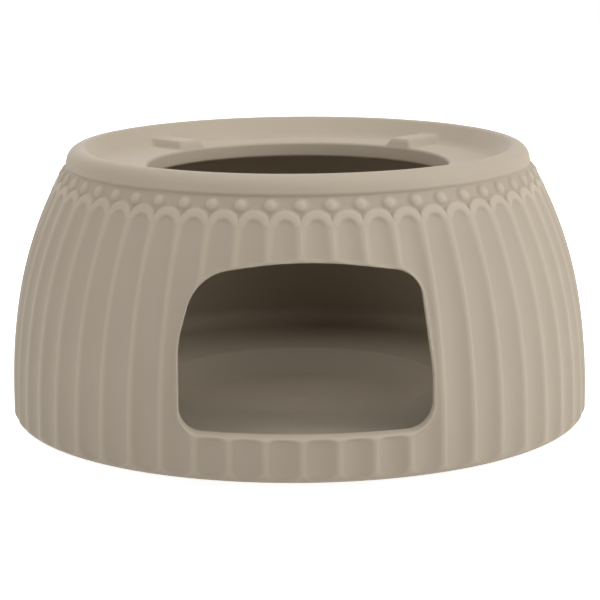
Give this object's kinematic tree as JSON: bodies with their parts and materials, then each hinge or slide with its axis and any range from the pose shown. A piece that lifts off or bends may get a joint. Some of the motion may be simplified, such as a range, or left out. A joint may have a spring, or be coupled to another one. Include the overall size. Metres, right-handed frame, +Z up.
{
  "type": "teapot warmer",
  "caption": "Round fluted ceramic teapot warmer with a beaded scalloped rim, an arched front window, a candle dish and raised rests for the pot.",
  "frame": {"origin": "centre of the foot ring's underside, on the table", "axes": "+Z up along the warmer's axis, -Y out through the front window, +X to the right as seen from the front"},
  "size_m": [0.156, 0.156, 0.076],
  "materials": {
    "glaze": "satin"
  },
  "bodies": {
    "root": {"warmer_body": "glaze"}
  },
  "joints": []
}
